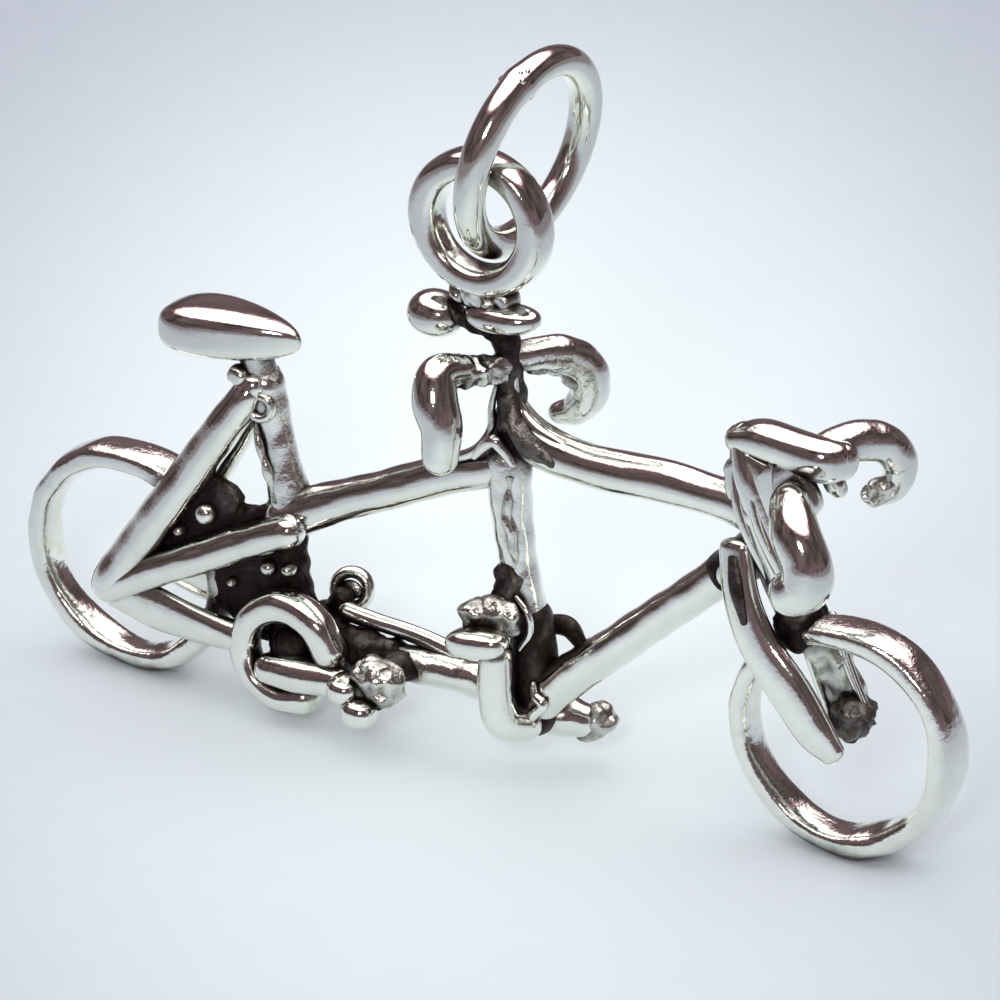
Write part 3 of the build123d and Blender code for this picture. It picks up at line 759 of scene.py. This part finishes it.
class CHARM_OT_front_cranks(Maker, bpy.types.Operator):
    """Crank bars, pedals and lugs of the captain's set"""
    bl_idname = "charm.front_cranks"
    bl_label = "Front cranks"

    def make(self):
        arm = [(1.42, -0.5, 1.42, 0.46), (1.1, -0.88, 1.6, 0.5), (0.98, -0.98, 2.3, 0.44),
               (0.98, -0.98, 3.2, 0.4)]
        skin("front_crank_right_casting", [bar(arm)], polished(), nodes=["front_crank_right"])
        pedal = lump((0.67, -1.35, 3.64), (0.78, 0.42, 0.33), 2.8, (0, -8, 0))
        skin("front_pedal_right_casting", [pedal], polished(), nodes=["front_pedal_right"])
        far = bar([(1.6, 0.3, 1.35, 0.46), (1.95, 0.5, 1.3, 0.5), (2.3, 0.65, 1.2, 0.42)])
        skin("front_crank_left_casting", [far], polished(), nodes=["front_crank_left"])
        end = lump((2.5, 0.9, 1.1), (0.54, 0.44, 0.42), 2.5, (0, -30, 0))
        skin("front_pedal_left_casting", [gnarled(end, 0.06, 7.0)], grimy(),
             nodes=["front_pedal_left"])
        lug = bar([(1.35, 0.6, 3.45, 0.22), (1.85, 0.75, 3.45, 0.26), (2.15, 0.8, 3.1, 0.18)])
        skin("front_lug_left_casting", [lug], blackened(), nodes=["front_lug_left"])
        strand = bar([(1.7, -0.55, 2.5, 0.06), (1.78, -0.62, 2.25, 0.1), (1.98, -0.62, 2.05, 0.13),
                      (1.75, -0.64, 1.75, 0.13), (1.62, -0.6, 1.5, 0.06)])
        arc = bar([(1.25, -0.6, 4.6, 0.05), (1.62, -0.66, 4.25, 0.08), (1.66, -0.68, 3.8, 0.08),
                   (1.42, -0.68, 3.35, 0.05)])
        skin("front_bb_strands", [strand, arc], polished())
        dark = [lump((0.86, -0.72, 4.08), (0.6, 0.42, 0.5), 2.4),
                lump((0.42, -0.85, 4.1), (0.42, 0.38, 0.36), 2.3)]
        skin("front_lug_right_casting", [gnarled(d, 0.06, 8.0) for d in dark], grimy(),
             nodes=["front_lug_right"])


class CHARM_OT_hanging_eye(Maker, bpy.types.Operator):
    """The round eye on the captain's saddle and the solder under it"""
    bl_idname = "charm.hanging_eye"
    bl_label = "Hanging eye"

    def make(self):
        low, high = node_box("bail")
        hole, outside = half("eye_hole"), (high[2] - low[2]) / 2
        thick = (outside - hole) / 2

        def swell(angle):
            return 0.98 + 0.05 * np.sin(2 * angle + 0.5), 0 * angle

        grid = hoop((low + high) / 2, (0, 1, 0), hole + thick, thick * 1.03,
                    (high[1] - low[1]) / 2, EYE_SQUARE, 160, 44, swell)
        skin("bail_casting", [grid], polished(), True, nodes=["bail"], raised=False, warp=0.25)
        low, high = node_box("bail_foot")
        middle = (low + high) / 2
        pad = bar([(low[0] + 0.3, 0, middle[2], 0.36, 0.3),
                   (middle[0], 0, middle[2] + 0.02, 0.42, 0.34),
                   (high[0] - 0.3, 0, middle[2] + 0.03, 0.34, 0.28)], side=(0, 1, 0))
        skin("bail_foot_solder", [gnarled(pad, 0.06, 7.0)], rubbed(), nodes=["bail_foot"],
             raised=False)


class CHARM_OT_jump_ring(Maker, bpy.types.Operator):
    """The free ring of round wire: its soldered seam is a swelling with a few grains"""
    bl_idname = "charm.jump_ring"
    bl_label = "Jump ring"

    def make(self):
        """The seam is a bell curve of the angle. Its grains stand on three rows of the
        wire's points, drawn in to 0.9 of the way from the wire's middle."""
        mount = next(m for m in frame["record"]["mounts"] if m["name"] == "ring_eye")
        centre, axis = np.array(mount["pos_m"]) / MM, mount["axis"]
        radius, wire_half = half("link"), half("wire")

        def swell(angle):
            away = np.abs((angle + math.pi) % TAU - math.pi)
            seam = np.exp(-(away / SEAM_WIDTH) ** 2)
            return 1 + 0.1 * seam + 0.02 * np.sin(3 * angle), 0.03 * np.sin(2 * angle) * seam

        grid = hoop(centre, axis, radius, wire_half, wire_half, 2.0, 220, 32, swell,
                    SEAM_SIDE)
        skin("jump_ring_wire", [grid], ring_finish(), True, body="ring", nodes=["jump_ring"],
             raised=False, warp=0.0)
        rows = grid[[0, -2, 2]]
        middle = rows.mean(1, keepdims=True)
        seam = (middle + 0.9 * (rows - middle)).reshape(-1, 3)[1::11]
        beads = grains(seam, np.linspace(0.07, 0.1, len(seam)), 97)
        skin("jump_ring_seam", beads, ring_finish(), body="ring", raised=False, warp=0.0)


class CHARM_OT_stage(Maker, bpy.types.Operator):
    """Pale floor, the tent of light with the room below it, a small lamp and the camera"""
    bl_idname = "charm.stage"
    bl_label = "Stage"

    def make(self):
        look = bpy.context.scene.charm_colours
        self.floor(look)
        self.light(look)
        self.camera()

    def floor(self, look):
        """A board with a painted pool of light under the bike: its colour is painted down to half
        further out. In what the silver mirrors only, its colour is also painted towards the dark
        room further out, a painted reflection. Both go by the distance from the pool's middle."""
        reach, rise = 1.5, (GROUND - 0.01) * MM
        mesh = bpy.data.meshes.new("floor")
        mesh.from_pydata([(-reach, -reach, rise), (reach, -reach, rise), (reach, reach, rise),
                          (-reach, reach, rise)], [], [(0, 1, 2, 3)])
        floor = bpy.data.objects.new("floor", mesh)
        bpy.context.scene.collection.objects.link(floor)
        material = bpy.data.materials.new("pale_board")
        material.use_nodes = True
        tree = material.node_tree
        shader = tree.nodes["Principled BSDF"]
        place = wire(tree, "ShaderNodeTexCoord", "Object")
        speck = wire(tree, "ShaderNodeTexNoise", 0, None, {"Vector": place, "Scale": 900.0,
                                                           "Detail": 3.0})
        # Painted pool of light: the board's colour is full near the pool's middle and painted down
        # to half further out.
        pool = wire(tree, "ShaderNodeMapping", 0, {"vector_type": "TEXTURE"},
                    {"Vector": place, "Location": (*PAINTED_POOL_MIDDLE, rise),
                     "Rotation": (0, 0, math.radians(VIEW_TURN)),
                     "Scale": (1.0, PAINTED_POOL_STRETCH, 1.0)})
        away = wire(tree, "ShaderNodeVectorMath", "Value", {"operation": "LENGTH"}, {0: pool})
        painted_pool_fade = wire(tree, "ShaderNodeMapRange", 0, {"interpolation_type": "SMOOTHSTEP"},
                    {0: away, 1: 0.0, 2: PAINTED_POOL_RADIUS, 3: 0.0, 4: 1.0})
        red, green, blue = look.floor
        board_colour_with_painted_light = blended(tree, painted_pool_fade, (red, green, blue, 1), (red * 0.5, green * 0.5, blue * 0.56, 1))
        # Painted reflection: in what the silver mirrors only, the board's colour turns towards the
        # room's dark colour further out.
        painted_reflection_reach = wire(tree, "ShaderNodeMapRange", 0, {"interpolation_type": "SMOOTHSTEP"},
                      {0: away, 1: PAINTED_ROOM_NEAR, 2: PAINTED_ROOM_FAR, 3: 0.0, 4: PAINTED_ROOM_SHARE})
        painted_reflection_share = painted_reflection_reach * wire(tree, "ShaderNodeLightPath", "Is Glossy Ray")
        board_colour_with_painted_light = blended(tree, painted_reflection_share, board_colour_with_painted_light, (*look.room, 1))
        board_colour_with_painted_light = blended(tree, speck * 0.06, board_colour_with_painted_light, (1, 1, 1, 1))
        tree.links.new(board_colour_with_painted_light.socket, shader.inputs["Base Color"])
        shader.inputs["Roughness"].default_value = 0.9
        shader.inputs["Specular IOR Level"].default_value = 0.1
        mesh.materials.append(material)

    def light(self, look):
        """A white tent overhead with a faintly red rim, and a dim room below it. Matt
        surfaces see an even white, so the board stays soft; the lamp adds small glints."""
        world = bpy.data.worlds.new("studio")
        bpy.context.scene.world = world
        world.use_nodes = True
        tree = world.node_tree
        tree.nodes.clear()
        way = wire(tree, "ShaderNodeTexCoord", "Generated")
        top = Vector(TENT_TOP).normalized()
        rise = wire(tree, "ShaderNodeVectorMath", "Value", {"operation": "DOT_PRODUCT"},
                    {0: way, 1: top})
        haze = wire(tree, "ShaderNodeTexNoise", 0, None, {"Vector": way, "Scale": 3.2,
                                                          "Detail": 3.0})
        room = blended(tree, (haze * 3.4 - 1.2).clamp(), (*DIM, 1),
                       tuple(c * 1.6 for c in look.room) + (1,))

        def step(low, high):
            return wire(tree, "ShaderNodeMapRange", 0, None,
                        {0: rise, 1: low, 2: high, 3: 0.0, 4: 1.0})

        fringed = blended(tree, step(*RIM_RISE), room, (*RIM, 1))
        dome = blended(tree, step(*DOME_RISE), fringed, (*DOME, 1))
        path = put(tree, "ShaderNodeLightPath")
        seen = Wire(tree, path.outputs["Is Camera Ray"])
        soft = Wire(tree, path.outputs["Is Diffuse Ray"])
        shown = blended(tree, seen, blended(tree, soft, dome, (1, 1, 1, 1)), (*BACKDROP, 1))
        reflected = step(*BRIGHT_RISE) * (look.tent - 1.0) + 1.0
        strength = blended(tree, soft, reflected, (SKY, SKY, SKY, 1))
        strength = blended(tree, seen, strength, (1, 1, 1, 1))
        back = put(tree, "ShaderNodeBackground", None, {"Color": shown, "Strength": strength})
        out = put(tree, "ShaderNodeOutputWorld")
        tree.links.new(back.outputs[0], out.inputs[0])
        bulb = bpy.data.lights.new("small_lamp", "AREA")
        bulb.shape, bulb.size, bulb.energy = "DISK", LAMP_WIDTH, LAMP_WATTS
        lamp = bpy.data.objects.new("small_lamp", bulb)
        lamp.location = Vector(LAMP_PLACE)
        lamp.rotation_euler = (-lamp.location).to_track_quat("-Z", "Y").to_euler()
        bpy.context.scene.collection.objects.link(lamp)

    def camera(self):
        """A long lens; it aims a little above and ahead of the middle of the frame."""
        azimuth, rise = math.radians(VIEW_TURN), math.radians(VIEW_RISE)
        back = Vector((math.sin(azimuth) * math.cos(rise), -math.cos(azimuth) * math.cos(rise),
                       math.sin(rise)))
        right = Vector((math.cos(azimuth), math.sin(azimuth), 0))
        up = back.cross(right)
        base = Vector((0, 0, GROUND + 4.5))
        eye = (base + back * VIEW_DISTANCE) * MM
        aim = (base + right * 0.428 + up * 1.863) * MM
        data = bpy.data.cameras.new("camera")
        data.sensor_width, data.lens = SENSOR, LENS
        data.clip_start, data.clip_end = 0.005, 20.0
        camera = bpy.data.objects.new("camera", data)
        camera.location = eye
        camera.rotation_euler = (aim - eye).to_track_quat("-Z", "Y").to_euler()
        bpy.context.scene.collection.objects.link(camera)
        bpy.context.scene.camera = camera
        bpy.context.scene.view_settings.view_transform = "Standard"


MAKERS = (CHARM_OT_stage, CHARM_OT_wheels, CHARM_OT_frame_tubes, CHARM_OT_stays, CHARM_OT_steering,
          CHARM_OT_stoker_bars, CHARM_OT_saddles, CHARM_OT_rear_cranks, CHARM_OT_front_cranks,
          CHARM_OT_hanging_eye, CHARM_OT_jump_ring)


class CHARM_PT_panel(bpy.types.Panel):
    """Sizes and colours, then one button for each maker"""
    bl_idname = "CHARM_PT_panel"
    bl_label = "Tandem Charm"
    bl_space_type = "VIEW_3D"
    bl_region_type = "UI"
    bl_category = "Charm"

    def draw(self, context):
        for group in (context.scene.charm_sizes, context.scene.charm_colours):
            for key in group.__annotations__:
                self.layout.prop(group, key)
        for maker in MAKERS:
            self.layout.operator(maker.bl_idname)


CLASSES = (CharmSizes, CharmColours, *MAKERS, CHARM_PT_panel)


def register():
    for item in CLASSES:
        bpy.utils.register_class(item)
    bpy.types.Scene.charm_sizes = PointerProperty(type=CharmSizes)
    bpy.types.Scene.charm_colours = PointerProperty(type=CharmColours)


def unregister():
    del bpy.types.Scene.charm_colours
    del bpy.types.Scene.charm_sizes
    for item in reversed(CLASSES):
        bpy.utils.unregister_class(item)


def main():
    register()
    for maker in MAKERS:
        group, name = maker.bl_idname.split(".")
        getattr(getattr(bpy.ops, group), name)()


if __name__ == "__main__":
    main()
